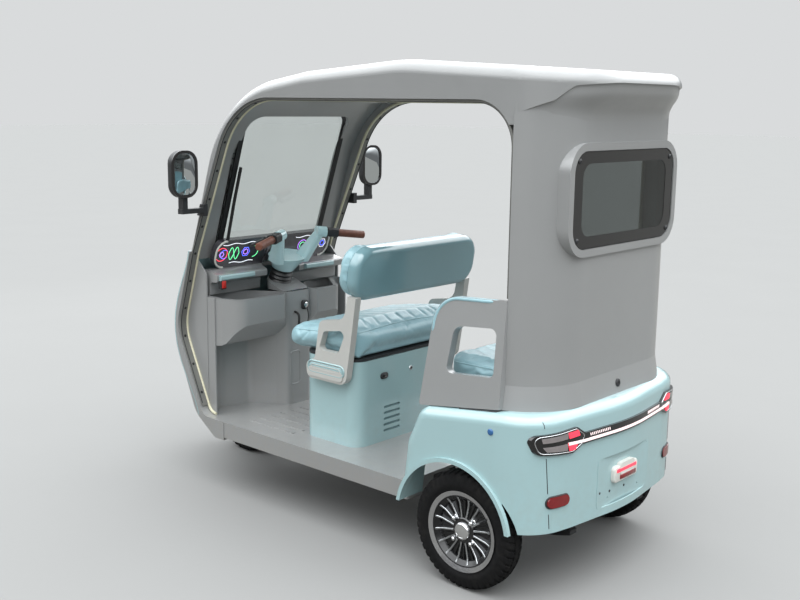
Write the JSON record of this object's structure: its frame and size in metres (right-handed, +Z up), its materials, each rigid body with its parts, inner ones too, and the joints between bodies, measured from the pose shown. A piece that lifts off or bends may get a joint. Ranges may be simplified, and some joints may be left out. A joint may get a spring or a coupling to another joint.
{
  "type": "three-wheeled electric cabin car",
  "caption": "Small electric cabin tricycle with one steered front wheel, open sides, a driver's seat and a rear bench under a full roof.",
  "frame": {"origin": "under the middle of the overall box, on the floor", "axes": "+Z up, +Y to the rear, +X to the vehicle's left"},
  "size_m": [1.216, 2.2327, 1.766],
  "materials": {
    "grey_body": "satin",
    "blue_body": "gloss",
    "dark_trim": "satin",
    "clear_glass": "clear",
    "tinted_glass": "tinted",
    "display": "gloss",
    "black_rubber": "matte",
    "bright_steel": "polished",
    "brown_grip": "matte",
    "dark_steel": "satin",
    "blue_leather": "satin",
    "lamp_glass": "gloss",
    "red_lens": "gloss",
    "tyre": "matte",
    "wheel_rim": "satin"
  },
  "bodies": {
    "cabin": {"roof": "grey_body", "screen_frame": "grey_body", "rear_shell": "grey_body", "floor_deck": "grey_body", "leg_shield": "grey_body", "shield_pockets": "grey_body", "dash_shelf": "grey_body", "column_cap": "grey_body", "side_panels": "grey_body", "seat_frames": "grey_body", "bench_base": "grey_body", "door_surrounds": "dark_trim", "windscreen": "clear_glass", "rear_window": "tinted_glass", "rear_fenders": "blue_body", "rear_bumper": "blue_body", "front_fairing": "blue_body", "seat_box": "blue_body", "dash_strips": "blue_body", "battery_pack": "dark_trim", "dash_unit": "display", "chassis_frame": "dark_steel", "rear_axle": "dark_steel", "rear_springs": "dark_steel", "backrest_shell": "blue_leather", "backrest_cushion": "blue_leather", "bench_cushion": "blue_leather", "bench_backrest": "blue_leather", "arm_pads": "blue_leather", "tail_lamps": "lamp_glass", "reflectors": "red_lens", "plate_lamp": "lamp_glass", "headlamps": "lamp_glass", "mirrors": "dark_trim"},
    "steering": {"steering_gaiter": "black_rubber", "steering_yoke": "blue_body", "handlebar": "bright_steel", "grips": "brown_grip", "switch_blocks": "dark_trim", "front_fork": "dark_steel", "front_mudguard": "blue_body"},
    "front_wheel": {"tyre_front": "tyre", "rim_front": "wheel_rim"},
    "rear_wheel_left": {"tyre_left": "tyre", "rim_left": "wheel_rim"},
    "rear_wheel_right": {"tyre_right": "tyre", "rim_right": "wheel_rim"},
    "seat_hatch": {"seat_lid": "dark_trim", "seat_cushion": "blue_leather"}
  },
  "joints": [
    {"name": "steer", "type": "hinge", "parent": "cabin", "child": "steering", "pos_m": [0, -0.6481, 0.894], "axis": [0, 0.3256, 0.9455], "range_deg": [-32, 32]},
    {"name": "front_wheel_spin", "type": "hinge", "parent": "steering", "child": "front_wheel", "pos_m": [0, -0.885, 0.206], "axis": [1, 0, 0], "continuous": true},
    {"name": "rear_left_wheel_spin", "type": "hinge", "parent": "cabin", "child": "rear_wheel_left", "pos_m": [0.441, 0.765, 0.206], "axis": [1, 0, 0], "continuous": true},
    {"name": "rear_right_wheel_spin", "type": "hinge", "parent": "cabin", "child": "rear_wheel_right", "pos_m": [-0.441, 0.765, 0.206], "axis": [1, 0, 0], "continuous": true},
    {"name": "seat_lid_hinge", "type": "hinge", "parent": "cabin", "child": "seat_hatch", "pos_m": [0, -0.198, 0.64], "axis": [1, 0, 0], "range_deg": [0, 60]}
  ]
}
